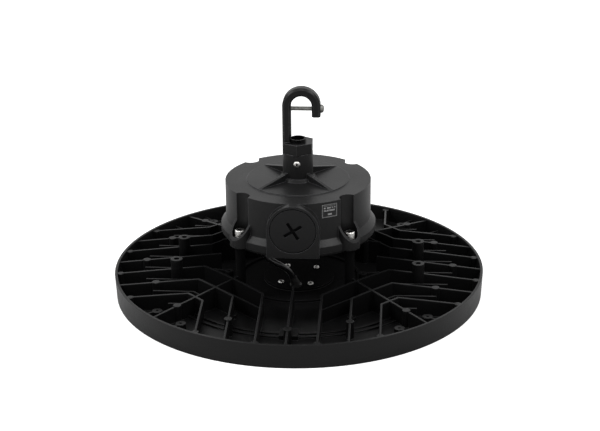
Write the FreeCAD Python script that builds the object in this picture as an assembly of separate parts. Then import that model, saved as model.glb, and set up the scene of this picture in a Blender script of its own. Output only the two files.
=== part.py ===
"""LED high bay light: finned cast heat sink, cast driver housing on four pillars, and a hook on a stem.

Millimetres, +Z up. The origin is the centre of the face that the heat sink's rim rests on, and the
front of the light, with the round port of its driver housing, faces -Y.
"""
import FreeCAD, Part
import math
import os

from FreeCAD import Vector

# ---------------------------------------------------------------- driving dimensions
seat_gap = 0.1            # play between a piece and the hole or recess it goes into
screw_gap = 0.25          # play between a screw and a plain hole it passes through
eps = 0.5                 # how far a cutting tool stands past the face it cuts

# heat sink: rim and floor
rim_r = 165.0
rim_height = 21.0
rim_draft = 1.0
rim_lip = 2.2
rim_wall = 3.6
floor_top = 8.0
floor_thickness = 2.0
floor_ring_r = (117.0, 123.4)      # inner radius of each raised ring on the floor
floor_ring_width = 2.6
floor_ring_height = 1.5
hub_ring_r = 53.0
hub_ring_width = 2.4
hub_ring_height = 2.0

# heat sink: fins
fin_pitch = 25.3
fin_thickness = 1.7
fin_edge_height = 19.3             # top of a fin at the rim
fin_rise = 0.115                   # how much the fin tops rise for each millimetre towards the hub
fin_bend_sum = (107.0, 135.0, 166.0)   # |x| + |y| of each fin's slanting stretch across the corner
mid_fin_start_r = 70.0
rib_thickness = 1.3
rib_top = 20.8
rib_end_r = 138.0
rib_start = 98.0
rib_bend_sum = (121.0, 150.5, 177.1)
ejector_r = 3.4
ejector_stand = 0.4
ejector_mid_r = 138.0
ejector_outer_x = 122.0
ejector_corner_r = 137.0
rim_lump_r = 3.0
end_block_width = 16.0
end_block_start = 114.0
end_block_length = 15.0
end_block_height = 4.0

# heat sink: posts that carry a bracket or a sensor ring, and lugs beside the hub
post_x = 107.0
post_r = 5.3
post_top = 35.0
post_bore_r = 2.5
post_bore_depth = 14.0
lug_place = (58.5, 37.5)
lug_r = 3.4
lug_bore_r = 1.3
lug_bore_depth = 8.0
lug_rib_start = 73.0
lug_rib_thickness = 1.6
corner_lug_circle_r = 147.0
corner_lug_angle = 6.5
corner_lug_r = 4.4
corner_lug_top = 15.0

# heat sink: pillars that carry the driver housing
pillar_r = 4.3
pillar_foot_r = 6.5
pillar_foot_height = 12.0

# hub: wire opening, cover and its screws
hub_turn = -5.0                    # the hub's fittings are turned this many degrees from the front
wire_hole_r = 17.0
lead_slot_width = 12.0
hub_cover_r = 31.5
hub_cover_thickness = 1.6
hub_gasket_thickness = 0.8
hub_gasket_width = 3.6
hub_screw_circle_r = 22.8
hub_screw_angle = 36.0

# light side: board, light emitters, lens plate
led_board_gap = 3.0
led_board_thickness = 1.2
pocket_wall = 29.0                 # from the rim's outside to the pocket for the board
lens_seat_z = 4.4
lens_gasket_thickness = 0.7
lens_gasket_gap = 3.0
lens_gasket_width = 6.0
lens_edge = 9.0                    # from the rim's outside to the lens plate
lens_thickness = 1.7
lens_ring_r = (50.0, 85.0, 118.0)
lens_ring_counts = (8, 16, 24)
dome_base_r = 8.5
dome_top_r = 5.5
dome_height = 1.6
emitter_size = 3.5
emitter_height = 0.7
lens_screw_edge = 6.0
lens_screw_count = 12
board_screw_ring_r = (67.0, 101.5)
board_screw_count = 6

# driver housing
housing_bottom = 58.4
housing_top = 103.7
housing_r = 64.2
housing_wall = 3.7
roof_thickness = 3.5
roof_disc_r = 45.0
roof_disc_height = 0.8
flange_width = 4.4
flange_top = 64.4
flange_slope_top = 69.6
channel_stand = 1.3                # how far the centre of a screw channel is outside the wall
pillar_stand = 1.5                 # how far a pillar is outside its channel's centre
channel_r = 8.0
ear_wall = 2.0
ear_slope_top = 79.5
pad_face = 70.8
pad_width = 45.0
pad_bottom = 56.7
pad_skirt = 4.0
port_z = 81.4
port_plug_r = 19.4
port_recess = 3.0
port_groove = 0.8
port_bore_r = 17.0
port_slot_length = 17.5
port_slot_width = 2.8
port_slot_depth = 1.9
port_slot_turn = 58.0

# boss on the roof, stem and hook
boss_r = 13.3
boss_top = 129.0
boss_foot_r = 16.2
boss_foot_height = 2.4
gusset_tip_r = 44.5
gusset_height = 7.5
gusset_thickness = 3.0
stem_r = 7.5
stem_bottom = 92.4
stem_stand = 2.7
stem_bore_r = 5.0
stem_bore_depth = 15.0
stem_nut_across = 22.0
stem_nut_height = 6.0
stem_screw_z = 121.2
collar_across = 25.6
collar_height = 9.4
hook_bar = 7.5
hook_depth = 10.5
hook_chamfer = 1.7
hook_centre_x = 3.5
hook_centre_z = 170.8
hook_inner_r = 9.1
hook_nose_bottom = 161.4
safety_screw_z = 168.0

# bottom cover of the driver housing
base_width = 2.0
base_thickness = 2.2
base_gasket_thickness = 1.0
base_gasket_margin = 0.4
base_gasket_inset = 0.2
base_boss_inset = 7.2
base_boss_r = 4.6
base_boss_height = 20.0
base_boss_angles = (22.5, 157.5, 202.5, 337.5)

# lead between the driver housing and the hub, chosen point by point
lead_r = 2.65
lead_route = ((-1.2, -23.2, 10.6), (-6.2, -25.6, 25.0), (-14.0, -31.0, 33.0),
              (-26.5, -36.5, 42.0), (-33.5, -38.2, 62.0))
lead_bend_share = 0.45
lead_core_length = 24.0            # the straight cutter that clears the lead's way through a bush
lead_core_back = 4.0
grommet_flange = 1.5
grommet_neck_r = 4.3
grommet_flange_r = 5.4
sleeve_length = 8.0
sleeve_tip_r = 3.4

# cable gland at the back
gland_z = 76.0
gland_thread_r = 8.0
gland_boss_r = 14.0
gland_boss_face = 71.0
gland_hex_across = 22.0
gland_hex_length = 6.0
gland_dome_r = 10.4
gland_dome_length = 12.0
gland_nut_across = 20.0
gland_nut_length = 4.0
gland_bore_r = 4.0
gland_spot_r = 12.4
gland_spot_depth = 0.3

# driver electronics
board_length = 80.0
board_width = 64.0
board_thickness = 1.6
board_hole_x = 36.0
board_hole_y = 22.0
standoff_height = 8.6
standoff_r = 3.2
transformer_size = (34.0, 30.0, 24.0)
transformer_core = 6.0
transformer_place = (20.0, 2.0)
choke_r = 13.0
choke_bore_r = 5.5
choke_height = 12.0
choke_place = (-20.0, 14.0)
capacitor_r = 8.0
capacitor_height = 26.0
capacitor_places = ((-30.0, -8.0), (-12.0, -21.0), (8.0, -24.0))
terminal_size = (24.0, 9.0, 13.0)
terminal_place = (6.0, 26.0)
connector_size = (9.0, 14.0, 2.6)
socket_size = (12.0, 10.5)
socket_edge = 1.0
sheet_thickness = 0.5

# fasteners: shank radius, head radius, head height
m3 = (1.5, 2.8, 1.8)
m3_low = (1.5, 2.6, 1.0)
m4 = (2.0, 3.7, 3.0)
m5 = (2.5, 4.25, 5.4)
m5_length = 30.0
m3_length = 8.0
washer_r = 5.0
washer_thickness = 1.4
spring_washer_r = 4.4
spring_washer_thickness = 1.8
spring_washer_split = 1.0

# ---------------------------------------------------------------- values worked out
pocket_r = rim_r - pocket_wall
led_board_r = pocket_r - led_board_gap
lens_gasket_r = pocket_r + lens_gasket_gap
lens_r = rim_r - lens_edge
lens_screw_circle_r = lens_r - lens_screw_edge
flange_r = housing_r + flange_width
channel_circle_r = housing_r + channel_stand
pillar_circle_r = channel_circle_r + pillar_stand
base_r = housing_r + base_width
base_gasket_r = housing_r - base_gasket_inset
base_boss_circle_r = housing_r - base_boss_inset
floor_bottom = floor_top - floor_thickness
board_bottom = floor_bottom - led_board_thickness
lens_top = lens_seat_z - lens_gasket_thickness
lens_bottom = lens_top - lens_thickness
hub_gasket_top = floor_top + hub_gasket_thickness
hub_cover_top = hub_gasket_top + hub_cover_thickness
roof_top = housing_top + roof_disc_height
collar_top = boss_top + collar_height
stem_top = collar_top + stem_stand
base_top = housing_bottom - base_gasket_thickness
base_bottom = base_top - base_thickness
cavity_r = housing_r - housing_wall
roof_inside = housing_top - roof_thickness
gland_nut_seat = cavity_r + gland_spot_depth
board_top_z = base_top + standoff_height + board_thickness
washer_top = flange_top + washer_thickness
screw_head_bottom = washer_top + spring_washer_thickness
full_turn = 360.0
up = Vector(0, 0, 1)
origin = Vector(0, 0, 0)


# ---------------------------------------------------------------- shapes
def save(name, shape):
    """Write one piece, or one group of equal pieces, to its own file."""
    solids = shape.Solids
    shape = solids[0] if len(solids) == 1 else Part.makeCompound(solids)
    shape.exportStep("parts/%s.step" % name)
    print("%-22s solids %3d  faces %4d  volume %10.1f" % (name, len(solids), len(shape.Faces), shape.Volume))


def disc(radius, bottom, top, x=0.0, y=0.0):
    return Part.makeCylinder(radius, top - bottom, Vector(x, y, bottom))


def ring(outer, inner, bottom, top, x=0.0, y=0.0):
    return disc(outer, bottom, top, x, y).cut(disc(inner, bottom - eps, top + eps, x, y))


def block(x0, x1, y0, y1, z0, z1):
    return Part.makeBox(x1 - x0, y1 - y0, z1 - z0, Vector(x0, y0, z0))


def rod(radius, start, end):
    """A cylinder from one point to another."""
    start = Vector(*start)
    axis = Vector(*end) - start
    return Part.makeCylinder(radius, axis.Length, start, axis)


def revolved(points):
    """A solid of revolution about Z from its half section, given as (radius, height) points."""
    corners = [Vector(r, 0, z) for r, z in points]
    face = Part.Face(Part.makePolygon(corners + corners[:1]))
    return face.revolve(origin, up, full_turn)


def hexagon(across, bottom, top, turn=0.0, centre=(0.0, 0.0)):
    """A hexagonal prism by its width across the flats, with a flat facing X where turn is 0."""
    corner_r = across / 2 / math.cos(math.pi / 6)
    corners = []
    for k in range(6):
        a = math.radians(30 + 60 * k + turn)
        corners.append(Vector(centre[0] + corner_r * math.cos(a), centre[1] + corner_r * math.sin(a), bottom))
    face = Part.Face(Part.makePolygon(corners + corners[:1]))
    return face.extrude(Vector(0, 0, top - bottom))


def along_y(shape, y, z):
    """Turn a shape modelled upwards about Z so that it points to +Y, with its base at y, z."""
    shape = shape.copy()
    shape.rotate(origin, Vector(1, 0, 0), -90)
    shape.translate(Vector(0, y, z))
    return shape


def quarters(shape):
    """The shape at its own place and turned by one, two and three quarters of a turn."""
    return [turned(shape, 90 * k) for k in range(4)]


def turned(shape, angle):
    shape = shape.copy()
    shape.rotate(origin, up, angle)
    return shape


def on_circle(radius, angle):
    """The point on a circle about Z, with the angle counted from +X."""
    return radius * math.cos(math.radians(angle)), radius * math.sin(math.radians(angle))


def ribbon(points, thickness, bottom, top):
    """An upright wall of even thickness along an open line in plan, mitred at its bends."""
    points = [Vector(x, y, bottom) for x, y in points]
    directions = [(b - a).normalize() for a, b in zip(points, points[1:])]
    sides = ([], [])
    for k, point in enumerate(points):
        before = directions[max(k - 1, 0)]
        after = directions[min(k, len(directions) - 1)]
        bisector = (before + after).normalize()
        normal = Vector(-bisector.y, bisector.x, 0)
        half = thickness / 2 / before.dot(bisector)
        sides[0].append(point + normal * half)
        sides[1].append(point - normal * half)
    outline = sides[0] + sides[1][::-1]
    face = Part.Face(Part.makePolygon(outline + outline[:1]))
    return face.extrude(Vector(0, 0, top - bottom))


def pan_screw(kind, length, place, direction=(0, 0, -1), slot=True):
    """A screw with a low round head: the head's seat is at place, the shank points along direction."""
    shank_r, head_r, head_height = kind
    down = Vector(*direction)
    seat = Vector(*place)
    head = Part.makeCylinder(head_r, head_height, seat, down * -1)
    screw = head.fuse(Part.makeCylinder(shank_r, length, seat, down))
    if slot:
        recess = Part.makeCylinder(head_r * 0.35, head_height * 0.5, seat - down * head_height, down)
        screw = screw.cut(recess)
    return screw


# ---------------------------------------------------------------- heat sink
def fin_envelope():
    """The cone that all fin tops lie on, as a solid from inside the floor up to that cone."""
    reach = rim_r - rim_wall / 2
    low = floor_top - floor_thickness / 2
    return revolved([(0, low), (reach, low), (reach, fin_height(reach)), (0, fin_height(0))])


def fin_height(r):
    return fin_edge_height + fin_rise * (rim_r - r)


def corner_line(offset, bend_sum, reach):
    """Plan of a fin that comes in along X, crosses the corner at 45 degrees and leaves along Y."""
    far = math.sqrt(reach ** 2 - offset ** 2)
    near = bend_sum - offset
    if near <= offset:
        return [(far, offset), (offset, offset), (offset, far)]
    return [(far, offset), (near, offset), (offset, near), (offset, far)]


def fins():
    """Three fins across each corner, a middle fin in each quarter and a fin on each diagonal."""
    low = floor_top - floor_thickness / 2
    high = fin_height(0)
    walls = []
    for k, bend_sum in enumerate(fin_bend_sum):
        walls += quarters(ribbon(corner_line(fin_pitch * (k + 1), bend_sum, rim_r), fin_thickness, low, high))
    walls += quarters(ribbon([(mid_fin_start_r, 0), (rim_r, 0)], fin_thickness, low, high))
    spoke = [on_circle(pillar_circle_r, 45), on_circle(rim_r, 45)]
    walls += quarters(ribbon(spoke, fin_thickness, low, high))
    return walls


def ribs():
    """Lower ribs with level tops, half way between the fins of the left and right quarters."""
    low = floor_top - floor_thickness / 2
    walls = []
    for sx in (-1, 1):
        for sy in (-1, 1):
            for k, bend_sum in enumerate(rib_bend_sum):
                offset = fin_pitch * (k + 1.5)
                line = corner_line(offset, bend_sum, rib_end_r)[:2] + [rib_stop(k, bend_sum)]
                if k == len(rib_bend_sum) - 1:
                    line = line[:2]
                walls.append(ribbon([(sx * x, sy * y) for x, y in line], rib_thickness, low, rib_top))
            first = fin_pitch / 2
            end = math.sqrt(rib_end_r ** 2 - first ** 2)
            walls.append(ribbon([(sx * rib_start, sy * first), (sx * end, sy * first)], rib_thickness, low, rib_top))
    return walls


def rib_stop(k, bend_sum):
    """Where a rib that crosses the corner ends: the first on a fin, the next on the diagonal fin."""
    if k == 0:
        return fin_pitch, bend_sum - fin_pitch
    return bend_sum / 2, bend_sum / 2


def fin_fittings():
    """Round columns on the fins, where the casting is pushed out of its mould, and the end blocks."""
    low = floor_top - floor_thickness / 2
    places = [(ejector_mid_r, 0), on_circle(ejector_corner_r, 45)]
    places += [(ejector_outer_x, side * fin_pitch * 2) for side in (-1, 1)]
    columns = []
    for x, y in places:
        top = fin_height(math.hypot(x, y)) + ejector_stand
        columns += quarters(disc(ejector_r, low, top, x, y))
    lump_circle = rim_r - rim_wall - rim_lump_r / 2
    for k in (1, 3):
        y = fin_pitch * k
        x = math.sqrt(lump_circle ** 2 - y ** 2)
        for side in (-1, 1):
            columns += quarters(disc(rim_lump_r, low, fin_height(lump_circle), x, side * y))
    half = end_block_width / 2
    end = end_block_start + end_block_length
    columns += quarters(block(end_block_start, end, -half, half, low, floor_top + end_block_height))
    return columns


def posts():
    return [disc(post_r, floor_bottom + 1.0, post_top, sx * post_x, sy * fin_pitch)
            for sx in (-1, 1) for sy in (-1, 1)]


def lugs():
    """A short rib and a screw lug beside the hub in each corner of the left and right quarters."""
    low = floor_top - floor_thickness / 2
    x, y = lug_place
    top = fin_height(lug_rib_start)
    solids = []
    for sx in (-1, 1):
        for sy in (-1, 1):
            line = [(sx * x, sy * y), (sx * lug_rib_start, sy * (fin_bend_sum[0] - lug_rib_start))]
            solids.append(ribbon(line, lug_rib_thickness, low, top))
            solids.append(disc(lug_r, low, top, sx * x, sy * y))
    return solids


def corner_lugs():
    """Two lugs with short ribs to the rim beside each diagonal fin."""
    low = floor_top - floor_thickness / 2
    solids = []
    for k in range(8):
        angle = 45 + 90 * (k // 2) + (corner_lug_angle if k % 2 else -corner_lug_angle)
        x, y = on_circle(corner_lug_circle_r, angle)
        far = on_circle(rim_r - rim_wall, angle)
        solids.append(disc(corner_lug_r, low, corner_lug_top, x, y))
        solids.append(ribbon([(x, y), far], lug_rib_thickness, low, corner_lug_top))
    return solids


def pillars():
    low = floor_top - floor_thickness / 2
    x, y = on_circle(pillar_circle_r, 45)
    foot = disc(pillar_foot_r, low, floor_top + pillar_foot_height, x, y)
    column = disc(pillar_r, low, housing_bottom, x, y)
    return quarters(column) + quarters(foot)


def heat_sink_body():
    """Floor, rim, hub ring and floor rings in one section turned about Z."""
    inner_rim = rim_r - rim_wall
    rings = []
    for r in (hub_ring_r,):
        rings += [(r, floor_top), (r, floor_top + hub_ring_height)]
        rings += [(r + hub_ring_width, floor_top + hub_ring_height), (r + hub_ring_width, floor_top)]
    for r in floor_ring_r:
        rings += [(r, floor_top), (r, floor_top + floor_ring_height)]
        rings += [(r + floor_ring_width, floor_top + floor_ring_height), (r + floor_ring_width, floor_top)]
    section = [(0, floor_bottom), (0, floor_top)] + rings
    section += [(inner_rim - rim_draft, floor_top), (rim_r - rim_lip, rim_height), (rim_r, rim_height)]
    section += [(rim_r - rim_draft, 0), (inner_rim - rim_draft, 0), (inner_rim - rim_draft, lens_seat_z)]
    section += [(pocket_r, lens_seat_z), (pocket_r, floor_bottom)]
    return revolved(section)


def hub_points():
    """Where the hub cover's screws are."""
    points = []
    for base in (-90, 90):
        for side in (-1, 1):
            points.append(on_circle(hub_screw_circle_r, base + side * hub_screw_angle + hub_turn))
    return points


def wire_opening(bottom, top):
    """The opening in the hub that the lead's wires go through."""
    gland_x, gland_y = lead_at(hub_cover_top)
    half = lead_slot_width / 2
    opening = disc(wire_hole_r, bottom, top)
    opening = opening.fuse(disc(half, bottom, top, gland_x, gland_y))
    return opening.fuse(block(gland_x - half, gland_x + half, gland_y, 0, bottom, top))


def heat_sink():
    walls = Part.makeCompound(fins())
    envelope = fin_envelope()
    pieces = [wall.common(envelope) for wall in walls.Solids]
    rim_limit = disc(rim_r - rim_wall / 2, 0, rim_height * 3)
    pieces += [piece.common(rim_limit) for piece in fin_fittings()]
    pieces += ribs() + posts() + lugs() + corner_lugs() + pillars()
    body = heat_sink_body().multiFuse(pieces)
    holes = [wire_opening(floor_bottom - eps, floor_top + eps)]
    for x, y in [(sx * post_x, sy * fin_pitch) for sx in (-1, 1) for sy in (-1, 1)]:
        holes.append(disc(post_bore_r, post_top - post_bore_depth, post_top + eps, x, y))
    for sx in (-1, 1):
        for sy in (-1, 1):
            top = fin_height(lug_rib_start)
            holes.append(disc(lug_bore_r, top - lug_bore_depth, top + eps, sx * lug_place[0], sy * lug_place[1]))
    for k in range(8):
        angle = 45 + 90 * (k // 2) + (corner_lug_angle if k % 2 else -corner_lug_angle)
        x, y = on_circle(corner_lug_circle_r, angle)
        holes.append(disc(lug_bore_r, floor_top + 1.0, corner_lug_top + eps, x, y))
    for k in range(4):
        x, y = on_circle(pillar_circle_r, 45 + 90 * k)
        bottom = screw_head_bottom - m5_length - 2.0
        holes.append(disc(m5[0] + seat_gap / 2, bottom, housing_bottom + eps, x, y))
    for x, y in hub_points():
        holes.append(disc(m3[0] + seat_gap / 2, floor_bottom - eps, floor_top + eps, x, y))
    for x, y in lens_screw_points():
        holes.append(disc(m3[0] + seat_gap / 2, lens_seat_z - eps, lens_seat_z + 3.0, x, y))
    for x, y in board_screw_points():
        holes.append(disc(m3_low[0] + seat_gap / 2, floor_bottom - eps, floor_top + 3.0, x, y))
    bosses = [disc(m3[0] + 2.0, floor_top - 0.5, floor_top + 3.5, x, y) for x, y in board_screw_points()]
    body = body.multiFuse(bosses)
    for hole in holes:
        body = body.cut(hole)
    return body.removeSplitter()


# ---------------------------------------------------------------- light side
def lens_points():
    points = []
    for r, count in zip(lens_ring_r, lens_ring_counts):
        points += [on_circle(r, full_turn * (k + 0.5) / count) for k in range(count)]
    return points


def lens_screw_points():
    step = full_turn / lens_screw_count
    return [on_circle(lens_screw_circle_r, step * (k + 0.5)) for k in range(lens_screw_count)]


def board_screw_points():
    points = []
    for r in board_screw_ring_r:
        points += [on_circle(r, full_turn * k / board_screw_count) for k in range(board_screw_count)]
    return points


def led_board():
    board = disc(led_board_r, board_bottom, floor_bottom)
    for x, y in board_screw_points():
        board = board.cut(disc(m3_low[0] + screw_gap, board_bottom - eps, floor_bottom + eps, x, y))
    return board


def emitters():
    """One square light emitter over each lens."""
    half = emitter_size / 2
    bottom = board_bottom - emitter_height
    return Part.makeCompound([block(x - half, x + half, y - half, y + half, bottom, board_bottom)
                              for x, y in lens_points()])


def lens_plate():
    """A clear plate with one low dome lens for each emitter."""
    plate = disc(lens_r, lens_bottom, lens_top)
    domes = []
    for x, y in lens_points():
        domes.append(Part.makeCone(dome_top_r, dome_base_r, dome_height + eps,
                                   Vector(x, y, lens_bottom - dome_height)))
    plate = plate.multiFuse(domes)
    for x, y in lens_screw_points():
        plate = plate.cut(disc(m3[0] + screw_gap, lens_bottom - eps, lens_top + eps, x, y))
    return plate


def lens_gasket():
    return ring(lens_gasket_r + lens_gasket_width, lens_gasket_r, lens_top, lens_seat_z)


def lens_screws():
    kind = (m3[0], m3[1], lens_bottom - 0.3)
    length = lens_seat_z - lens_bottom + 2.5
    return Part.makeCompound([pan_screw(kind, length, (x, y, lens_bottom), (0, 0, 1))
                              for x, y in lens_screw_points()])


def led_board_screws():
    length = led_board_thickness + floor_thickness + 2.0
    return Part.makeCompound([pan_screw(m3_low, length, (x, y, board_bottom), (0, 0, 1), slot=False)
                              for x, y in board_screw_points()])


# ---------------------------------------------------------------- hub and lead
def lead_at(z):
    """Where the lead's first straight run crosses the height z."""
    a, b = Vector(*lead_route[0]), Vector(*lead_route[1])
    p = a + (b - a) * ((z - a.z) / (b.z - a.z))
    return p.x, p.y


def lead_top_at(z):
    """Where the lead's last straight run crosses the height z."""
    a, b = Vector(*lead_route[-2]), Vector(*lead_route[-1])
    p = a + (b - a) * ((z - a.z) / (b.z - a.z))
    return p.x, p.y


def lead_path():
    """Straight runs joined by tangent arcs, as large as the two runs beside each bend allow."""
    points = [Vector(*p) for p in lead_route]
    edges = []
    start = points[0]
    for before, corner, after in zip(points, points[1:], points[2:]):
        back = (before - corner).normalize()
        ahead = (after - corner).normalize()
        half_turn = (math.pi - back.getAngle(ahead)) / 2
        run = min((before - corner).Length, (after - corner).Length) * lead_bend_share
        radius = run / math.tan(half_turn)
        print("lead bend radius %.1f" % radius)
        enter = corner + back * run
        leave = corner + ahead * run
        bisector = (back + ahead).normalize()
        middle = corner + bisector * (radius / math.cos(half_turn) - radius)
        edges += [Part.LineSegment(start, enter).toShape(), Part.Arc(enter, middle, leave).toShape()]
        start = leave
    edges.append(Part.LineSegment(start, points[-1]).toShape())
    return Part.Wire(edges)


def driver_lead():
    path = lead_path()
    first = Vector(*lead_route[1]) - Vector(*lead_route[0])
    section = Part.Wire(Part.makeCircle(lead_r, Vector(*lead_route[0]), first))
    lead = path.makePipeShell([section], True, False)
    print("lead volume %.2f, section times length %.2f" % (lead.Volume, math.pi * lead_r ** 2 * path.Length))
    return lead


def lead_core(margin, end):
    """A straight cutter round the lead at one of its ends."""
    if end == "hub":
        a, b = Vector(*lead_route[0]), Vector(*lead_route[1])
    else:
        a, b = Vector(*lead_route[-1]), Vector(*lead_route[-2])
    direction = (b - a).normalize()
    return Part.makeCylinder(lead_r + margin, lead_core_length, a - direction * lead_core_back, direction)


def hub_cover():
    cover = disc(hub_cover_r, hub_gasket_top, hub_cover_top)
    for x, y in hub_points():
        cover = cover.cut(disc(m3[0] + screw_gap, hub_gasket_top - eps, hub_cover_top + eps, x, y))
    x, y = lead_at((hub_gasket_top + hub_cover_top) / 2)
    return cover.cut(disc(grommet_neck_r + seat_gap, hub_gasket_top - eps, hub_cover_top + eps, x, y))


def hub_gasket():
    return ring(hub_cover_r - seat_gap, hub_cover_r - hub_gasket_width, floor_top, hub_gasket_top)


def hub_screws():
    length = hub_cover_top - floor_bottom - 0.2
    return Part.makeCompound([pan_screw(m3, length, (x, y, hub_cover_top)) for x, y in hub_points()])


def lower_grommet():
    """The bush in the hub cover with the sleeve that holds the leaning lead."""
    x, y = lead_at((hub_gasket_top + hub_cover_top) / 2)
    neck = disc(grommet_neck_r, hub_gasket_top, hub_cover_top + eps, x, y)
    x_top, y_top = lead_at(hub_cover_top)
    flange = disc(grommet_flange_r, hub_cover_top, hub_cover_top + grommet_flange, x_top, y_top)
    a = Vector(x_top, y_top, hub_cover_top + 1.0)
    direction = (Vector(*lead_route[1]) - Vector(*lead_route[0])).normalize()
    sleeve = Part.makeCone(grommet_neck_r, sleeve_tip_r, sleeve_length, a, direction)
    sleeve = sleeve.cut(disc(grommet_flange_r * 2, 0, hub_cover_top, x, y))
    return neck.fuse(flange).fuse(sleeve).cut(lead_core(seat_gap / 2, "hub")).removeSplitter()


def upper_grommet():
    x, y = lead_top_at((base_top + base_bottom) / 2)
    neck = disc(grommet_neck_r, base_bottom - grommet_flange, base_top + grommet_flange, x, y)
    below = disc(grommet_flange_r + 0.6, base_bottom - grommet_flange, base_bottom, x, y)
    above = disc(grommet_flange_r, base_top, base_top + grommet_flange, x, y)
    return neck.fuse(below).fuse(above).cut(lead_core(seat_gap / 2, "housing")).removeSplitter()


def led_connector():
    """The socket on the light board, seen in the hub's opening before its cover goes on."""
    x, y = lead_at(hub_cover_top)
    length, width, height = connector_size
    return block(x - length / 2, x + length / 2, y - 2.0, y - 2.0 + width, floor_bottom, floor_bottom + height)


# ---------------------------------------------------------------- driver housing
def ear_points(radius):
    return [on_circle(radius, 45 + 90 * k) for k in range(4)]


def housing_section():
    return [(0, housing_bottom), (0, roof_top), (roof_disc_r, roof_top), (roof_disc_r + 0.4, housing_top),
            (housing_r, housing_top), (housing_r, flange_slope_top), (flange_r, flange_top),
            (flange_r, housing_bottom)]


def ear(k):
    """A screw ear: an upright cylinder cut off by a plane that falls away from the wall."""
    x, y = on_circle(channel_circle_r, 45)
    radius = channel_r + ear_wall
    column = disc(radius, housing_bottom, ear_slope_top, x, y)
    outer = channel_circle_r + radius
    slope = [(housing_r - 1.0, ear_slope_top), (outer + eps, flange_top), (outer + eps, ear_slope_top + eps),
             (housing_r - 1.0, ear_slope_top + eps)]
    corners = [Vector(r, -radius * 2, z) for r, z in slope]
    wedge = Part.Face(Part.makePolygon(corners + corners[:1])).extrude(Vector(0, radius * 4, 0))
    column = column.cut(turned(wedge, 45))
    return turned(column, 90 * k)


def cavity(bottom):
    """The hollow inside the housing, which runs round the four screw channels."""
    hollow = disc(cavity_r, bottom, roof_inside)
    for x, y in ear_points(channel_circle_r):
        hollow = hollow.cut(disc(channel_r + ear_wall + 0.3, bottom - eps, roof_inside + eps, x, y))
    return hollow


def port_pad():
    """The flat pad with an arched top at the front, which carries the round port."""
    half = pad_width / 2
    inner = cavity_r - 2.0
    pad = block(-half, half, -pad_face, -inner, housing_bottom, port_z)
    arch = along_y(disc(half, 0, pad_face - inner), -pad_face, port_z)
    skirt = block(-half, half, -pad_face, -pad_face + pad_skirt, pad_bottom, housing_bottom + eps)
    return [pad, arch.common(block(-half, half, -pad_face, 0, port_z, housing_top)), skirt]


def gusset():
    """A web on the roof from the boss out to its tip, at its full height beside the boss."""
    half = gusset_thickness / 2
    inner = boss_r - 2.0
    profile = [(inner, housing_top - 0.5), (gusset_tip_r, housing_top - 0.5), (gusset_tip_r, roof_top + 0.2),
               (inner, roof_top + gusset_height)]
    corners = [Vector(r, -half, z) for r, z in profile]
    web = Part.Face(Part.makePolygon(corners + corners[:1])).extrude(Vector(0, gusset_thickness, 0))
    return turned(web, 45)


def base_boss_points():
    return [on_circle(base_boss_circle_r, angle) for angle in base_boss_angles]


def driver_housing():
    body = revolved(housing_section())
    parts = [ear(k) for k in range(4)] + port_pad() + quarters(gusset())
    parts.append(disc(boss_r, housing_top - 1.0, boss_top))
    parts.append(Part.makeCone(boss_foot_r, boss_foot_r - 1.2, boss_foot_height, Vector(0, 0, roof_top)))
    parts.append(along_y(disc(gland_boss_r, 0, gland_boss_face - cavity_r + 2.0), cavity_r - 2.0, gland_z))
    body = body.multiFuse(parts)
    hollow = cavity(housing_bottom - eps)
    for x, y in base_boss_points():
        hollow = hollow.cut(disc(base_boss_r, housing_bottom - eps, housing_bottom + base_boss_height, x, y))
    body = body.cut(hollow)
    inner_boss = ring(boss_r, stem_r + seat_gap, roof_inside - 0.2, roof_inside + 0.5)
    body = body.fuse(inner_boss)
    cuts = []
    for x, y in ear_points(channel_circle_r):
        cuts.append(disc(channel_r, flange_top, roof_top + eps, x, y))
    for x, y in ear_points(pillar_circle_r):
        cuts.append(disc(m5[0] + screw_gap, housing_bottom - eps, flange_top + eps, x, y))
    for x, y in base_boss_points():
        cuts.append(disc(m3[0] + seat_gap / 2, housing_bottom - eps, housing_bottom + m3_length + 2.0, x, y))
    cuts.append(disc(stem_r + seat_gap, roof_inside - 1.0, boss_top + eps))
    cuts.append(rod(m3[0] + seat_gap / 2, (0, -boss_r - eps, stem_screw_z), (0, 0, stem_screw_z)))
    cuts.append(rod(port_plug_r + port_groove, (0, -pad_face - eps, port_z), (0, -pad_face + port_recess, port_z)))
    cuts.append(rod(port_bore_r, (0, -pad_face - eps, port_z), (0, 0, port_z)))
    cuts.append(rod(gland_thread_r + seat_gap, (0, 0, gland_z), (0, gland_boss_face + eps, gland_z)))
    cuts.append(rod(gland_spot_r, (0, 0, gland_z), (0, gland_nut_seat, gland_z)))
    for cut in cuts:
        body = body.cut(cut)
    return body.removeSplitter()


def port_plug():
    """The round plug that closes the port, with a crossed slot in its face."""
    plug_depth = port_recess - 0.6
    seal_room = 0.6
    face = disc(port_plug_r, 0, plug_depth)
    shank = disc(port_bore_r - seat_gap, 0, port_recess + pad_face - port_recess - cavity_r + 2.5)
    plug = face.fuse(shank)
    for turn in (0, 90):
        slot = block(-port_slot_length / 2, port_slot_length / 2, -port_slot_width / 2, port_slot_width / 2,
                     -eps, port_slot_depth)
        plug = plug.cut(turned(slot, turn + port_slot_turn))
    return along_y(plug, -pad_face + port_recess - plug_depth - seal_room, port_z).removeSplitter()


def port_seal():
    seal = ring(port_plug_r - 0.4, port_bore_r + 0.2, 0, 0.6)
    return along_y(seal, -pad_face + port_recess - 0.6, port_z)


def base_notches(bottom, top, radius):
    return [disc(radius, bottom, top, x, y) for x, y in ear_points(pillar_circle_r)]


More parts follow.
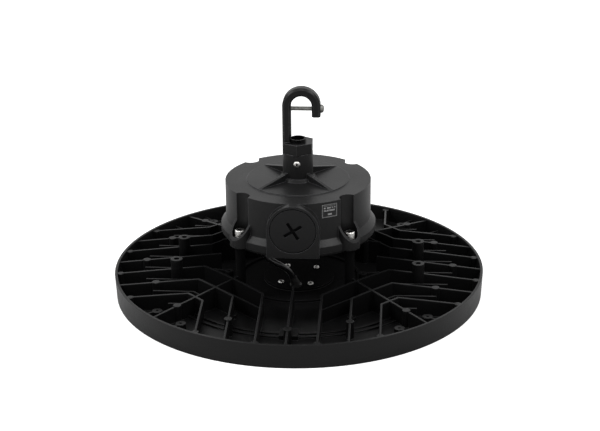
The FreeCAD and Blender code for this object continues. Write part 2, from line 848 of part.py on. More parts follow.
def driver_base():
    plate = disc(base_r, base_bottom, base_top)
    for notch in base_notches(base_bottom - eps, base_top + eps, pillar_r + screw_gap * 2):
        plate = plate.cut(notch)
    for x, y in base_boss_points():
        plate = plate.cut(disc(m3[0] + screw_gap, base_bottom - eps, base_top + eps, x, y))
    for x, y in standoff_points():
        plate = plate.cut(disc(m3[0] + screw_gap, base_bottom - eps, base_top + eps, x, y))
    x, y = lead_top_at((base_top + base_bottom) / 2)
    return plate.cut(disc(grommet_neck_r + seat_gap, base_bottom - eps, base_top + eps, x, y))


def base_gasket():
    """A flat gasket that follows the rim of the housing's hollow."""
    gasket = disc(base_gasket_r, base_top, housing_bottom)
    for notch in base_notches(base_top - eps, housing_bottom + eps, pillar_r + screw_gap * 2 + 1.2):
        gasket = gasket.cut(notch)
    inside = disc(cavity_r + base_gasket_margin, base_top - eps, housing_bottom + eps)
    for x, y in ear_points(channel_circle_r):
        margin = channel_r + ear_wall + 0.3 - base_gasket_margin
        inside = inside.cut(disc(margin, base_top - eps, housing_bottom + eps, x, y))
    for x, y in base_boss_points():
        margin = base_boss_r - base_gasket_margin
        inside = inside.cut(disc(margin, base_top - eps, housing_bottom + eps, x, y))
    gasket = gasket.cut(inside)
    for x, y in base_boss_points():
        gasket = gasket.cut(disc(m3[0] + screw_gap, base_top - eps, housing_bottom + eps, x, y))
    return gasket.removeSplitter()


def base_screws():
    return Part.makeCompound([pan_screw(m3, m3_length, (x, y, base_bottom), (0, 0, 1))
                              for x, y in base_boss_points()])


# ---------------------------------------------------------------- housing screws
def housing_screws():
    """Four socket head screws that pass through the ears into the pillars."""
    screws = []
    for x, y in ear_points(pillar_circle_r):
        screw = disc(m5[1], screw_head_bottom, screw_head_bottom + m5[2], x, y)
        screw = screw.fuse(disc(m5[0], screw_head_bottom - m5_length, screw_head_bottom + eps, x, y))
        socket = hexagon(4.0, screw_head_bottom + m5[2] / 2, screw_head_bottom + m5[2] + eps, 0, (x, y))
        screws.append(screw.cut(socket))
    return Part.makeCompound(screws)


def spring_washers():
    washers = []
    for x, y in ear_points(pillar_circle_r):
        washer = ring(spring_washer_r, m5[0] + seat_gap, washer_top, screw_head_bottom, x, y)
        half = spring_washer_split / 2
        gap = block(x, x + washer_r, y - half, y + half, washer_top - eps, screw_head_bottom + eps)
        washers.append(washer.cut(gap))
    return Part.makeCompound(washers)


def flat_washers():
    return Part.makeCompound([ring(washer_r, m5[0] + screw_gap, flange_top, washer_top, x, y)
                              for x, y in ear_points(pillar_circle_r)])


# ---------------------------------------------------------------- stem and hook
def threaded_stem():
    stem = disc(stem_r, stem_bottom, stem_top)
    dimple = rod(m3[0] + seat_gap / 2, (0, -stem_r - eps, stem_screw_z), (0, -stem_r + 1.5, stem_screw_z))
    bore = disc(stem_bore_r, stem_top - stem_bore_depth, stem_top + eps)
    return stem.cut(dimple).cut(bore)


def stem_nut():
    top = roof_inside - 0.2
    nut = hexagon(stem_nut_across, top - stem_nut_height, top)
    return nut.cut(disc(stem_r + seat_gap / 2, top - stem_nut_height - eps, top + eps))


def stem_screw():
    length = boss_r - stem_r + 1.0
    return pan_screw((m3[0], 3.1, 2.2), length, (0, -boss_r, stem_screw_z), (0, 1, 0))


def bar_section(radius):
    """The hook's bar in section, across X at the given distance from the bend's centre."""
    half = hook_depth / 2
    inner, outer, c = radius, radius + hook_bar, hook_chamfer
    plan = [(inner + c, -half), (outer - c, -half), (outer, -half + c), (outer, half - c),
            (outer - c, half), (inner + c, half), (inner, half - c), (inner, -half + c)]
    corners = [Vector(hook_centre_x + x, y, hook_centre_z) for x, y in plan]
    return Part.Face(Part.makePolygon(corners + corners[:1]))


def hook():
    """The forged hook: a hexagonal threaded collar, an upright arm, a half-round bend and a nose."""
    centre = Vector(hook_centre_x, 0, hook_centre_z)
    nose = bar_section(hook_inner_r).extrude(Vector(0, 0, hook_nose_bottom - hook_centre_z))
    bend = bar_section(hook_inner_r).revolve(centre, Vector(0, -1, 0), 180)
    far = bar_section(-hook_inner_r - hook_bar)
    arm = far.extrude(Vector(0, 0, boss_top - hook_centre_z))
    collar = hexagon(collar_across, boss_top, collar_top)
    body = collar.multiFuse([arm, bend, nose])
    body = body.cut(disc(stem_r + seat_gap / 2, boss_top - eps, stem_top + 1.0))
    far_x = hook_centre_x - hook_inner_r - hook_bar / 2
    body = body.cut(rod(m4[0] + seat_gap / 2, (far_x - 1.0, 0, safety_screw_z),
                        (hook_centre_x + hook_inner_r + hook_bar + eps, 0, safety_screw_z)))
    return body.removeSplitter()


def safety_screw():
    seat = hook_centre_x + hook_inner_r + hook_bar
    end = hook_centre_x - hook_inner_r - hook_bar / 2
    return pan_screw(m4, seat - end, (seat, 0, safety_screw_z), (-1, 0, 0))


# ---------------------------------------------------------------- cable gland
def gland_body():
    """Hexagon outside the wall and a threaded shank through it."""
    inside = gland_nut_seat - gland_nut_length - 1.5
    shank = along_y(disc(gland_thread_r, 0, gland_boss_face - inside), inside, gland_z)
    flats = along_y(hexagon(gland_hex_across, 0, gland_hex_length), gland_boss_face, gland_z)
    neck = along_y(disc(gland_thread_r, 0, 5.0), gland_boss_face + gland_hex_length, gland_z)
    body = shank.fuse(flats).fuse(neck)
    far = gland_boss_face + gland_hex_length + 5.0
    return body.cut(rod(gland_bore_r + 1.6, (0, inside - eps, gland_z), (0, far + eps, gland_z)))


def gland_dome():
    """The domed nut that closes on the gland's seal."""
    start = gland_boss_face + gland_hex_length + 0.3
    r, reach = gland_dome_r, gland_dome_length
    section = [(0, 0), (r, 0), (r, reach - 4.0), (r - 3.0, reach), (0, reach)]
    dome = along_y(revolved(section), start, gland_z)
    dome = dome.cut(rod(gland_thread_r + seat_gap, (0, start - eps, gland_z), (0, start + 5.5, gland_z)))
    return dome.cut(rod(gland_bore_r, (0, start, gland_z), (0, start + reach + eps, gland_z)))


def gland_seal():
    start = gland_boss_face + gland_hex_length + 0.3
    seal = ring(gland_thread_r - 2.5, gland_bore_r, 0, 5.2)
    return along_y(seal, start - 0.2, gland_z)


def gland_nut():
    start = gland_nut_seat
    nut = along_y(hexagon(gland_nut_across, 0, gland_nut_length), start - gland_nut_length, gland_z)
    return nut.cut(rod(gland_thread_r + seat_gap / 2, (0, start - gland_nut_length - eps, gland_z),
                       (0, start + eps, gland_z)))


# ---------------------------------------------------------------- electronics
def standoff_points():
    return [(sx * board_hole_x, sy * board_hole_y) for sx in (-1, 1) for sy in (-1, 1)]


def driver_board():
    half_x, half_y = board_length / 2, board_width / 2
    board = block(-half_x, half_x, -half_y, half_y, board_top_z - board_thickness, board_top_z)
    for x, y in standoff_points():
        board = board.cut(disc(m3[0] + screw_gap, board_top_z - board_thickness - eps, board_top_z + eps, x, y))
    return board


def board_standoffs():
    top = base_top + standoff_height
    return Part.makeCompound([ring(standoff_r, m3[0] + seat_gap / 2, base_top, top, x, y)
                              for x, y in standoff_points()])


def board_screws():
    return Part.makeCompound([pan_screw(m3, 5.0, (x, y, board_top_z)) for x, y in standoff_points()])


def standoff_screws():
    return Part.makeCompound([pan_screw(m3, 5.0, (x, y, base_bottom), (0, 0, 1))
                              for x, y in standoff_points()])


def on_board(size, place):
    length, width, height = size
    x, y = place
    return block(x - length / 2, x + length / 2, y - width / 2, y + width / 2, board_top_z,
                 board_top_z + height)


def transformer():
    """A wound transformer: a squared core round a fatter winding."""
    length, width, height = transformer_size
    core = on_board((length, transformer_core * 2, height), transformer_place)
    winding = on_board((length - 2 * transformer_core, width, height - 2 * transformer_core),
                       transformer_place)
    winding.translate(Vector(0, 0, transformer_core))
    foot = on_board((length - 4.0, width - 6.0, transformer_core), transformer_place)
    return core.fuse(winding).fuse(foot).removeSplitter()


def choke():
    x, y = choke_place
    return ring(choke_r, choke_bore_r, board_top_z, board_top_z + choke_height, x, y)


def capacitors():
    return Part.makeCompound([disc(capacitor_r, board_top_z, board_top_z + capacitor_height, x, y)
                              for x, y in capacitor_places])


def terminal_block():
    body = on_board(terminal_size, terminal_place)
    length, width, height = terminal_size
    x, y = terminal_place
    for k in (-1, 0, 1):
        mouth = block(x + k * 7.6 - 2.2, x + k * 7.6 + 2.2, y + width / 2 - 4.0, y + width / 2 + eps,
                      board_top_z + 2.0, board_top_z + 7.0)
        body = body.cut(mouth)
    return body


def lead_connector():
    """The socket under the driver board that the lead's wires plug into."""
    x, y = lead_route[-1][0], lead_route[-1][1]
    bottom = lead_route[-1][2] + lead_r / 2
    length, width = socket_size
    return block(x - length / 3, x + length * 2 / 3, y - socket_edge, y + width - socket_edge, bottom, board_top_z - board_thickness)


def insulating_sheet():
    half_x, half_y = board_length / 2 - 8.0, board_width / 2 - 3.0
    sheet = block(-half_x, half_x, -half_y, half_y, base_top, base_top + sheet_thickness)
    x, y = lead_top_at(base_top)
    return sheet.cut(disc(grommet_flange_r + 1.0, base_top - eps, base_top + 3.0, x, y))


def main():
    os.makedirs("parts", exist_ok=True)
    save("heat_sink", heat_sink())
    save("led_board", led_board())
    save("light_emitters", emitters())
    save("lens_plate", lens_plate())
    save("lens_gasket", lens_gasket())
    save("lens_screws", lens_screws())
    save("led_board_screws", led_board_screws())
    save("led_connector", led_connector())
    save("hub_cover", hub_cover())
    save("hub_gasket", hub_gasket())
    save("hub_cover_screws", hub_screws())
    save("lower_grommet", lower_grommet())
    save("upper_grommet", upper_grommet())
    save("driver_lead", driver_lead())
    save("driver_housing", driver_housing())
    save("driver_base", driver_base())
    save("base_gasket", base_gasket())
    save("base_screws", base_screws())
    save("housing_screws", housing_screws())
    save("spring_washers", spring_washers())
    save("flat_washers", flat_washers())
    save("port_plug", port_plug())
    save("port_seal", port_seal())
    save("threaded_stem", threaded_stem())
    save("stem_nut", stem_nut())
    save("stem_lock_screw", stem_screw())
    save("hook", hook())
    save("hook_safety_screw", safety_screw())
    save("gland_body", gland_body())
    save("gland_dome_nut", gland_dome())
    save("gland_seal", gland_seal())
    save("gland_lock_nut", gland_nut())
    save("driver_board", driver_board())
    save("board_standoffs", board_standoffs())
    save("board_screws", board_screws())
    save("standoff_screws", standoff_screws())
    save("transformer", transformer())
    save("choke", choke())
    save("capacitors", capacitors())
    save("terminal_block", terminal_block())
    save("lead_connector", lead_connector())
    save("insulating_sheet", insulating_sheet())


main()
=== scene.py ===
"""High bay light: finishes, small fittings and stage, laid out as an add-on and run as a script."""

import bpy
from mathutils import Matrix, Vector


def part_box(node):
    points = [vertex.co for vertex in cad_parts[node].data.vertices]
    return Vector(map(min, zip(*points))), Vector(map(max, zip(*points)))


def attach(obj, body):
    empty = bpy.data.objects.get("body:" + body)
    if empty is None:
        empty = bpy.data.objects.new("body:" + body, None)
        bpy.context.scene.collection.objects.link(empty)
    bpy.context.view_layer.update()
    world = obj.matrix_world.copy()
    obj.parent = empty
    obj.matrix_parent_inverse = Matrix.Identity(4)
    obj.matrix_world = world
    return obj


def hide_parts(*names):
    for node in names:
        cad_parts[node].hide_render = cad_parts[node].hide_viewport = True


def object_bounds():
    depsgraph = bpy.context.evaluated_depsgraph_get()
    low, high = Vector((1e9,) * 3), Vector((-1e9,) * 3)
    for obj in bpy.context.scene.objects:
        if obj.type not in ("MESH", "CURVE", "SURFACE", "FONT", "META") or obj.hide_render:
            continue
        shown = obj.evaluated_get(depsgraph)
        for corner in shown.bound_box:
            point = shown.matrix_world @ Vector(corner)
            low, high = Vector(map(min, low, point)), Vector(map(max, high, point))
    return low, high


bl_info = {
    "name": "High bay light",
    "version": (1, 0, 0),
    "blender": (4, 5, 0),
    "location": "3D View > Sidebar > High bay",
    "description": "Finishes and small fittings of a round high bay light",
    "category": "Object",
}

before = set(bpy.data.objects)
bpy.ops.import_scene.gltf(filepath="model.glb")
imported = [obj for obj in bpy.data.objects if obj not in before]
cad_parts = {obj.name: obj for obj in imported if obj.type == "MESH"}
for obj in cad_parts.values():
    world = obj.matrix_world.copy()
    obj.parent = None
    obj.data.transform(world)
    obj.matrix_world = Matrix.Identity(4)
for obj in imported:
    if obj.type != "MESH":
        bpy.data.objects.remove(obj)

import math

import bmesh
import bpy
from bpy.props import FloatProperty, FloatVectorProperty, IntProperty, PointerProperty
from mathutils import Matrix, Vector

cad_low, cad_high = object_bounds()
mm = 0.001
full_turn = 2 * math.pi
black, white = (0.0, 0.0, 0.0, 1.0), (1.0, 1.0, 1.0, 1.0)


# ---------------------------------------------------------------- sizes and colours
def colour(name, description, default):
    return FloatVectorProperty(name=name, description=description, subtype="COLOR", size=4,
                               min=0.0, max=1.0, default=(*default, 1.0))


def length(name, description, default):
    return FloatProperty(name=name, description=description, unit="LENGTH", min=0.0, default=default)


def share(name, description, default):
    return FloatProperty(name=name, description=description, subtype="FACTOR",
                         min=0.0, max=1.0, default=default)


def count(name, description, default):
    return IntProperty(name=name, description=description, min=8, default=default)


class HIGHBAY_PG_coat(bpy.types.PropertyGroup):
    """The black powder coat on the castings, the covers and the hook."""
    black: colour("Black", "Colour of the coat on the heat sink", (0.0030, 0.0030, 0.0031))
    # the housing's colour is the heat sink's black coat in a lighter tone: painted light on the
    # housing
    housing: colour("Housing", "Colour of the coat on the housing", (0.0080, 0.0080, 0.0082))
    # the edge colour is a painted highlight along the cast edges; each coat's wear factor scales it
    edge: colour("Edges", "Colour of the thin coat along edges", (0.018, 0.018, 0.019))
    roughness: share("Roughness", "Roughness of the coat", 0.40)
    peel: length("Orange peel", "Width of one swelling of the coat", 0.0016)
    edge_radius: length("Edge rounding", "Radius that the coat rounds a cast edge to", 0.0007)
    # between these two radii the heat sink's coat fades into a dead matt shader with almost no
    # reflection: painted shade for the shade under the housing
    hub_shade_radius: length("Hub shade", "Radius inside which the heat sink is dead matt", 0.085)
    hub_shade_fade_radius: length("Hub shade fade", "Radius from which the heat sink has its full coat", 0.118)


class HIGHBAY_PG_metal(bpy.types.PropertyGroup):
    """Bare metal: screws, washers, stem."""
    steel: colour("Steel", "Colour of the plated screws", (0.60, 0.59, 0.57))
    # the safety screw's darker colour is painted shade standing in for its thread grooves
    safety: colour("Safety screw", "Colour of the screw across the hook's mouth", (0.20, 0.20, 0.19))
    stem: colour("Stem", "Colour of the blackened stem", (0.006, 0.006, 0.006))
    thread_pitch: length("Thread pitch", "Pitch of the stem's thread", 0.0015)
    thread_depth: length("Thread depth", "Depth of the stem's thread", 0.0008)
    stem_bore: length("Stem bore", "Radius of the bore down the stem", 0.0060)
    stem_bore_depth: length("Bore depth", "Depth of the bore down the stem", 0.015)


class HIGHBAY_PG_screws(bpy.types.PropertyGroup):
    """The socket head screws that hold the housing."""
    head_height: length("Head height", "Height of the head", 0.0054)
    edge: length("Edge", "Height of the head's sloping edge", 0.0005)
    knurls: count("Knurls", "Ridges round the head", 30)
    knurl_depth: share("Knurl depth", "Depth of the knurls as a share of the head's radius", 0.04)
    socket: length("Socket", "Width of the socket across its flats", 0.004)
    socket_depth: length("Socket depth", "Depth of the socket", 0.0026)
    shank_radius: length("Shank", "Radius of the shank", 0.0025)


class HIGHBAY_PG_plastic(bpy.types.PropertyGroup):
    """Moulded plastic and rubber."""
    black: colour("Plastic", "Colour of the port plug and the gland", (0.0055, 0.0055, 0.0058))
    rubber: colour("Rubber", "Colour of seals and grommets", (0.013, 0.013, 0.013))
    sheath: colour("Sheath", "Colour of the lead", (0.008, 0.008, 0.009))
    silicone: colour("Silicone", "Colour of the lens and base gaskets", (0.33, 0.34, 0.35))
    nylon: colour("Nylon", "Colour of the lead's connectors", (0.72, 0.70, 0.64))
    # deeper in the plug's slot than these depths it turns dark and dull: painted shade
    slot_start: length("Slot start", "Depth in the plug's slot where it turns dull", 0.0003)
    slot_end: length("Slot end", "Depth in the plug's slot from which it is dull", 0.0008)


class HIGHBAY_PG_optics(bpy.types.PropertyGroup):
    """Lens plate, light board and light emitters."""
    lens: colour("Lens", "Tint of the clear lens plate", (0.93, 0.95, 0.96))
    mask: colour("Board", "Colour of the white solder mask", (0.80, 0.81, 0.80))
    land: colour("Lands", "Colour of the mask over its copper lands", (0.62, 0.64, 0.60))
    grime: colour("Grime", "Colour of the board's faint grime", (0.60, 0.58, 0.52))
    package: colour("Package", "Colour of the light emitters' bodies", (0.82, 0.81, 0.77))
    phosphor: colour("Phosphor", "Colour of the unlit light emitters", (0.78, 0.60, 0.07))
    plate_face: length("Plate face", "Height of the lens plate's lower face", 0.002)
    plate_edge: length("Plate edge", "Bevel round the lens plate", 0.0004)
    screw_hole: length("Screw holes", "Radius of the lens plate's screw holes", 0.00175)
    dome_rings: count("Dome steps", "Steps round each lens dome", 24)


class HIGHBAY_PG_electronics(bpy.types.PropertyGroup):
    """The driver's board and the parts on it."""
    board: colour("Board", "Colour of the green solder mask", (0.012, 0.09, 0.035))
    track: colour("Tracks", "Colour of the mask over its tracks", (0.03, 0.17, 0.06))
    ferrite: colour("Ferrite", "Colour of the transformer", (0.05, 0.045, 0.04))
    copper: colour("Copper", "Colour of the choke's wire", (0.75, 0.30, 0.12))
    # the darker colour between the choke's turns is painted shade in the grooves
    turn_shade: colour("Turn shade", "Colour between the choke's turns", (0.22, 0.06, 0.02))
    sleeve: colour("Sleeve", "Colour of the capacitors", (0.02, 0.02, 0.03))
    stripe: colour("Stripe", "Colour of the capacitors' stripe", (0.35, 0.36, 0.38))
    terminal: colour("Terminals", "Colour of the terminal block", (0.03, 0.22, 0.07))
    film: colour("Film", "Colour of the insulating sheet", (0.60, 0.58, 0.50))
    windings: FloatProperty(name="Windings", description="Turns of wire round the choke",
                            default=60.0)


class HIGHBAY_PG_plate(bpy.types.PropertyGroup):
    """The plain rating plate on the housing's wall."""
    width: length("Width", "Width of the plate round the wall", 0.0143)
    height: length("Height", "Height of the plate", 0.0118)
    ground: colour("Ground", "Colour of the plate", (0.016, 0.016, 0.017))
    marks: colour("Marks", "Colour of its border and bars", (0.62, 0.62, 0.62))


class HIGHBAY_PG_stage(bpy.types.PropertyGroup):
    """Floor, lights and camera."""
    floor: colour("Floor", "Colour of the floor", (0.90, 0.90, 0.90))
    glow: colour("Glow", "Light that the floor adds where the camera sees it", (0.61, 0.61, 0.61))
    floor_radius: length("Floor radius", "Radius of the round floor", 6.0)
    floor_gap: length("Floor gap", "Gap between the light's rim and the floor", 0.0002)
    sky: share("Sky", "Strength of the even light from all round", 0.42)
    lit_height: length("Lit height", "Height that the lamps point at", 0.05)
    distance: length("Distance", "Distance of the camera from its target", 1.4)
    lens: FloatProperty(name="Lens", description="Focal length of the camera in millimetres",
                        default=93.1)


# ---------------------------------------------------------------- shader maths
class Value:
    """One socket of a shader, with arithmetic that adds Math nodes."""

    def __init__(self, nodes, socket):
        self.nodes = nodes
        self.socket = socket

    def __add__(self, other):
        return self.nodes.math("ADD", self, other)

    def __sub__(self, other):
        return self.nodes.math("SUBTRACT", self, other)

    def __rsub__(self, other):
        return self.nodes.math("SUBTRACT", other, self)

    def __mul__(self, other):
        return self.nodes.math("MULTIPLY", self, other)

    def __truediv__(self, other):
        return self.nodes.math("DIVIDE", self, other)

    def __mod__(self, other):
        return self.nodes.math("FLOORED_MODULO", self, other)

    def swing(self, width):
        """The value, which runs from 0 to 1, as a swing of that width about 0."""
        return (self - 0.5) * width

    __radd__ = __add__
    __rmul__ = __mul__


class Nodes:
    """A node tree and the one method that adds nodes to it."""

    def __init__(self, owner):
        owner.use_nodes = True
        self.tree = owner.node_tree
        self.tree.nodes.clear()

    def add(self, kind, settings=None, sockets=None, output=0):
        """Adds a node, sets its settings first and then the values or links of its sockets."""
        node = self.tree.nodes.new(kind)
        for key, value in (settings or {}).items():
            setattr(node, key, value)
        for key, value in (sockets or {}).items():
            if isinstance(value, Value):
                self.tree.links.new(value.socket, node.inputs[key])
            else:
                node.inputs[key].default_value = value
        return Value(self, node.outputs[output]) if node.outputs else node

    def math(self, operation, *values):
        return self.add("ShaderNodeMath", {"operation": operation}, dict(enumerate(values)))

    def noise(self, scale, detail=2.0, place=None):
        """Noise from 0 to 1 with scale features in a metre."""
        return self.add("ShaderNodeTexNoise", None,
                        {"Vector": place or self.place, "Scale": scale, "Detail": detail})

    def blend(self, factor, first, second):
        return self.add("ShaderNodeMix", {"data_type": "RGBA"}, {0: factor, 6: first, 7: second}, 2)

    def ramp(self, value, low, high):
        """A smooth step from 0 at low to 1 at high."""
        return self.add("ShaderNodeMapRange", {"interpolation_type": "SMOOTHSTEP"},
                        {"Value": value, "From Min": low, "From Max": high})

    def axis(self, number):
        """One coordinate: 0, 1 or 2."""
        return self.add("ShaderNodeSeparateXYZ", None, {0: self.place}, number)

    def stretched(self, scale):
        return self.add("ShaderNodeMapping", None, {"Vector": self.place, "Scale": scale})

    def radius(self):
        x, y = self.axis(0), self.axis(1)
        return self.math("SQRT", x * x + y * y)

    def angle(self):
        return self.math("ARCTAN2", self.axis(1), self.axis(0))


class Finish(Nodes):
    """A material being made."""

    def __init__(self, name, place="Object"):
        self.material = bpy.data.materials.new(name)
        super().__init__(self.material)
        self.place = self.add("ShaderNodeTexCoord", output=place)

    def bump(self, height, depth, normal=None):
        sockets = {"Height": height, "Distance": depth, "Strength": 1.0}
        if normal:
            sockets["Normal"] = normal
        return self.add("ShaderNodeBump", None, sockets)

    def rounded(self, radius):
        """The normal of the surface as if its edges were rounded, and a mask of those edges."""
        normal = self.add("ShaderNodeBevel", {"samples": 6}, {"Radius": radius})
        flat = self.add("ShaderNodeNewGeometry", None, None, "Normal")
        facing = self.add("ShaderNodeVectorMath", {"operation": "DOT_PRODUCT"},
                          {0: normal, 1: flat}, "Value")
        least, full = 0.01, 0.22
        return normal, self.ramp(1 - facing, least, full)

    def shader(self, base, roughness, normal=None, **fixed):
        """A surface shader; the names of its fixed sockets have _ for a space."""
        sockets = {"Base Color": base, "Roughness": roughness}
        if normal:
            sockets["Normal"] = normal
        for key, value in fixed.items():
            sockets[key.replace("_", " ")] = value
        return self.add("ShaderNodeBsdfPrincipled", None, sockets)

    def finished(self, shader):
        self.add("ShaderNodeOutputMaterial", None, {"Surface": shader})
        return self.material

    def surface(self, base, roughness, normal=None, **fixed):
        return self.finished(self.shader(base, roughness, normal, **fixed))

    def mixed(self, mask, first, second):
        """The first shader where the mask is 0, and the second where it is 1."""
        return self.finished(self.add("ShaderNodeMixShader", None, {0: mask, 1: first, 2: second}))


def toned(shade, factor):
    """A colour made darker or lighter by a factor."""
    return (*[c * factor for c in shade[:3]], 1.0)


def powder_coat(name, coat, shade, depth=0.12 * mm, gloss=0.0, wear=1.0, hub_shade=False):
    """Black coat with rounded edges that carry a painted highlight; when asked it turns dead matt over
    the hub, a painted shade for the shade under the housing.
    """
    f = Finish(name)
    normal, edge = f.rounded(coat.edge_radius)
    patches = f.noise(26.0, 3.0)
    swell = f.noise(1 / coat.peel, 2.0)
    grit = f.noise(2.6 / coat.peel, 1.0)
    # the lighter colour along the edges is a painted highlight, and wear sets its strength
    thin = toned(coat.edge, wear)
    darkest, lightest = toned(shade, 0.82), toned(shade, 1.22)
    base = f.blend(patches, darkest, lightest)
    base = f.blend(edge * (0.35 + 0.5 * patches), base, thin)
    roughness = coat.roughness - gloss + patches.swing(0.14) + grit.swing(0.10) - edge * 0.06
    relief = f.bump(swell * 0.7 + grit * 0.3, depth, normal)
    coated = f.shader(base, roughness, relief, Specular_IOR_Level=0.18)
    if not hub_shade:
        return f.finished(coated)
    # over the hub a dead matt shader with almost no reflection is painted shade for the shade under
    # the housing
    matt = f.ramp(f.radius(), coat.hub_shade_fade_radius, coat.hub_shade_radius)
    hub_shade_base = f.blend(edge, toned(shade, 1.5), thin)
    dull = f.shader(hub_shade_base, 0.85 + grit * 0.1, relief, Specular_IOR_Level=0.02)
    return f.mixed(matt, coated, dull)


def plated_steel(name, shade, roughness):
    """Metal with fine drawn lines, faint stains and a painted highlight along its edges."""
    f = Finish(name)
    normal, edge = f.rounded(0.15 * mm)
    across, along = 900.0, 135.0
    brushed = f.noise(1.0, 2.0, f.stretched((across, across, along)))
    stains = f.noise(380.0, 3.0)
    base = f.blend(f.ramp(stains, 0.42, 0.72), tuple(shade), toned(shade, 0.62))
    # the lighter edges are a painted highlight
    base = f.blend(edge * 0.5, base, toned(shade, 1.3))
    return f.surface(base, roughness + brushed * 0.16 + stains * 0.06,
                     f.bump(brushed, 0.01 * mm, normal), Metallic=1.0)


def moulded(name, shade, roughness, grain=0.5 * mm, edge_radius=0.4 * mm, specular=0.5, edge_highlight=1.9,
            shade_depths=None):
    """Plastic with a fine mould texture and a painted highlight along its edges.

    Past the first of two given places along Y it turns dark and dull, fully so past the second:
    painted shade in a recess.
    """
    f = Finish(name)
    normal, edge = f.rounded(edge_radius)
    texture = f.noise(1 / grain, 1.0)
    flow = f.noise(60.0, 3.0, f.stretched((1.0, 1.0, 2.5)))
    base = f.blend(flow, toned(shade, 0.85), toned(shade, 1.15))
    # the lighter edges are a painted highlight
    base = f.blend(edge * 0.4, base, toned(shade, edge_highlight))
    relief = f.bump(texture, 0.02 * mm, normal)
    clean = f.shader(base, roughness + flow.swing(0.12) + texture.swing(0.08), relief,
                     Specular_IOR_Level=specular)
    if shade_depths is None:
        return f.finished(clean)
    # dark and dull: painted shade in the recess
    dull = f.shader(toned(shade, 0.6), 0.7, relief, Specular_IOR_Level=0.05)
    return f.mixed(f.ramp(f.axis(1), *shade_depths), clean, dull)


def rubber(name, shade, roughness=0.62, dustier=0.03):
    """Soft black or grey rubber: matt, fine-grained and a little dusty."""
    f = Finish(name)
    grain = f.noise(1500.0, 2.0)
    dust = f.ramp(f.noise(140.0, 4.0), 0.5, 0.8)
    base = f.blend(dust * 0.35, tuple(shade), (*[min(1.0, c + dustier) for c in shade[:3]], 1.0))
    return f.surface(base, roughness + dust * 0.12 + grain.swing(0.1), f.bump(grain, 0.03 * mm),
                     Specular_IOR_Level=0.35)


# ---------------------------------------------------------------- shapes
def dress(material, *nodes):
    """Gives CAD nodes a material."""
    for node in nodes:
        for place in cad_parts[node].material_slots:
            place.material = material


def piece(bm, name, material, replaced=(), sharp=35.0, recess=None):
    """Makes an object of a bmesh that is already in its place, and hangs it on the light."""
    mesh = bpy.data.meshes.new(name)
    bm.to_mesh(mesh)
    bm.free()
    mesh.shade_smooth()
    mesh.set_sharp_from_angle(angle=math.radians(sharp))
    mesh.materials.append(material)
    if recess:
        mesh.materials.append(recess)
    made = bpy.data.objects.new(name, mesh)
    bpy.context.scene.collection.objects.link(made)
    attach(made, "root")
    if replaced:
        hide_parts(*replaced)


def spun(points, steps, climb=0.0, turns=1):
    """Spins a half section of (radius, height) points about Z; climb lifts it at each turn."""
    bm = bmesh.new()
    verts = [bm.verts.new((r, 0.0, z)) for r, z in points]
    edges = [bm.edges.new(pair) for pair in zip(verts, verts[1:])]
    bmesh.ops.spin(bm, geom=verts + edges, cent=(0, 0, 0), axis=(0, 0, 1), dvec=(0, 0, climb / steps),
                   angle=full_turn * turns, steps=steps * turns, use_merge=not climb)
    bmesh.ops.remove_doubles(bm, verts=bm.verts, dist=1e-7)
    bmesh.ops.recalc_face_normals(bm, faces=bm.faces)
    return bm


def prism(sides, radius, low, high):
    """A closed upright prism or cylinder."""
    bm = bmesh.new()
    bmesh.ops.create_cone(bm, cap_ends=True, segments=sides, radius1=radius, radius2=radius,
                          depth=high - low)
    bmesh.ops.translate(bm, verts=bm.verts, vec=(0, 0, (low + high) / 2))
    return bm


def combined(bm, tool, operation="DIFFERENCE", recessed=False):
    """Cuts one mesh with another, or joins them; a recess's faces take the second material, which
    paints shade into them.
    """
    if recessed:
        for face in tool.faces:
            face.material_index = 1
    made = []
    for name, part in (("work", bm), ("tool", tool)):
        mesh = bpy.data.meshes.new(name)
        part.to_mesh(mesh)
        part.free()
        made.append(bpy.data.objects.new(name, mesh))
        bpy.context.scene.collection.objects.link(made[-1])
    work, cutter = made
    boolean = work.modifiers.new("cut", "BOOLEAN")
    boolean.object, boolean.operation, boolean.solver = cutter, operation, "EXACT"
    result = bmesh.new()
    result.from_mesh(work.evaluated_get(bpy.context.evaluated_depsgraph_get()).data)
    for item in made:
        mesh = item.data
        bpy.data.objects.remove(item)
        bpy.data.meshes.remove(mesh)
    return result


def repeated(bm, places):
    """Copies of one mesh at each of the given matrices, as one mesh."""
    mesh = bpy.data.meshes.new("one")
    bm.to_mesh(mesh)
    bm.free()
    result = bmesh.new()
    for place in places:
        start = len(result.verts)
        result.from_mesh(mesh)
        result.verts.ensure_lookup_table()
        bmesh.ops.transform(result, matrix=place, verts=result.verts[start:])
    bpy.data.meshes.remove(mesh)
    return result


def islands(node):
    """The lowest and highest corner of each separate solid of a CAD node."""
    bm = bmesh.new()
    bm.from_mesh(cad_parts[node].data)
    bmesh.ops.remove_doubles(bm, verts=bm.verts, dist=1e-6)
    left, boxes = set(bm.verts), []
    while left:
        group, fresh = set(), {left.pop()}
        while fresh:
            group |= fresh
            fresh = {e.other_vert(v) for v in fresh for e in v.link_edges} - group
        left -= group
        corners = list(zip(*[v.co for v in group]))
        boxes.append((Vector([min(c) for c in corners]), Vector([max(c) for c in corners])))
    bm.free()
    return sorted(boxes, key=lambda box: tuple(box[0]))


def middles(boxes, height=0.0):
    """Places over the middles of boxes, at one height."""
    return [Matrix.Translation(((low.x + high.x) / 2, (low.y + high.y) / 2, height))
            for low, high in boxes]


# a pan head's half section, in head radii and head heights
pan_head = ((0, 1), (0.42, 0.98), (0.72, 0.86), (0.92, 0.58), (1, 0.22), (0.98, 0))
# a recess bar's length and width in head radii and twice its depth in head heights, and what the
# bottom keeps of them
recess_size, recess_taper = (1.4, 0.46, 1.6), (0.42, 0.6, 1.0)


